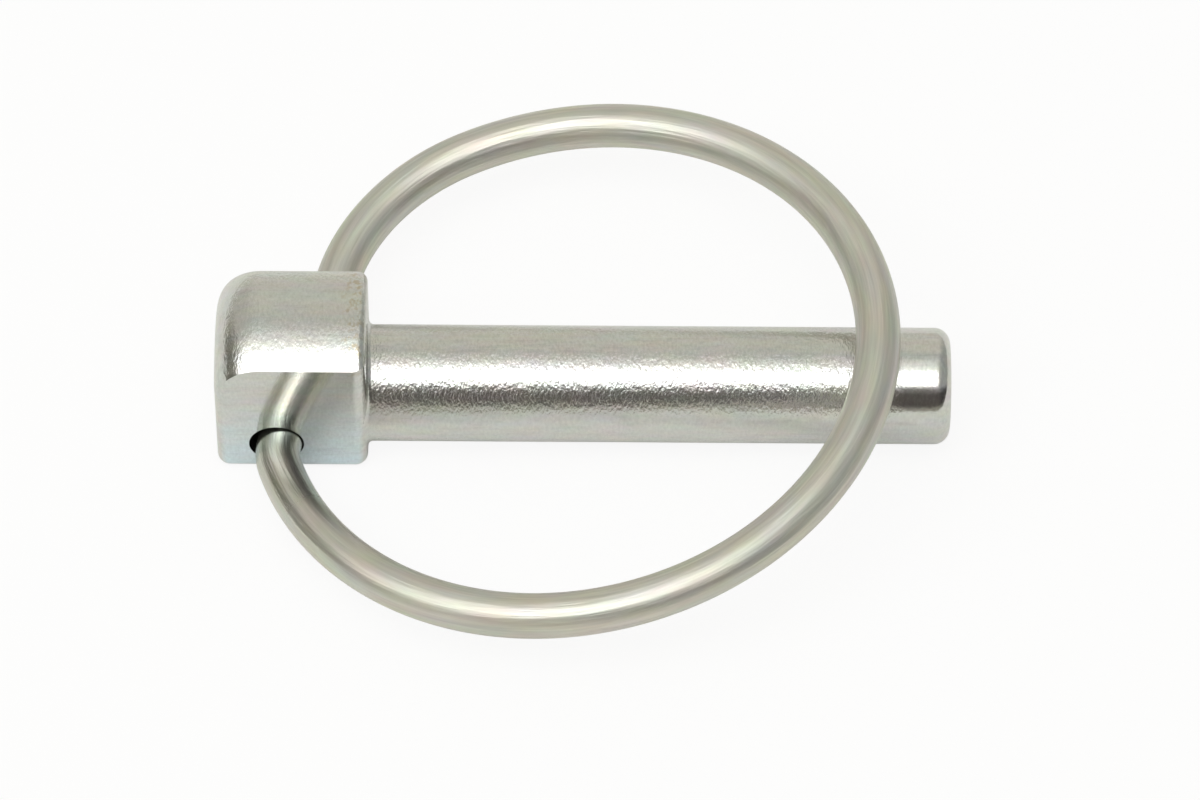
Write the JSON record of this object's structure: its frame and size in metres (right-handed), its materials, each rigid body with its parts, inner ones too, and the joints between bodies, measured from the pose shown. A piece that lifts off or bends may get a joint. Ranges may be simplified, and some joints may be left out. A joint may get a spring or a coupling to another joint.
{
  "type": "lynch pin",
  "caption": "Lynch pin: a plain steel shank with a flatted head and a sprung wire ring that snaps over the shank to keep the pin in its hole.",
  "frame": {"origin": "on the shank's axis, at the head's shoulder, where a plate on the shank would stop", "axes": "+X along the shank to its tip, +Z towards the side on which the closed ring lies, +Y across the head's two flats"},
  "size_m": [0.069, 0.0622, 0.0167],
  "materials": {
    "pin_zinc": "clear zinc plating, satin, with a slightly grainy turned shank",
    "ring_zinc": "clear zinc plating, smooth drawn wire"
  },
  "bodies": {
    "pin": {"pin": "pin_zinc"},
    "ring": {"ring": "ring_zinc"}
  },
  "joints": [
    {"name": "ring_hinge", "type": "hinge", "parent": "pin", "child": "ring", "pos_m": [-0.0067, 0, -0.00145], "axis": [-0.2541, -0.9662, -0.0426], "range_deg": [0, 170]}
  ]
}
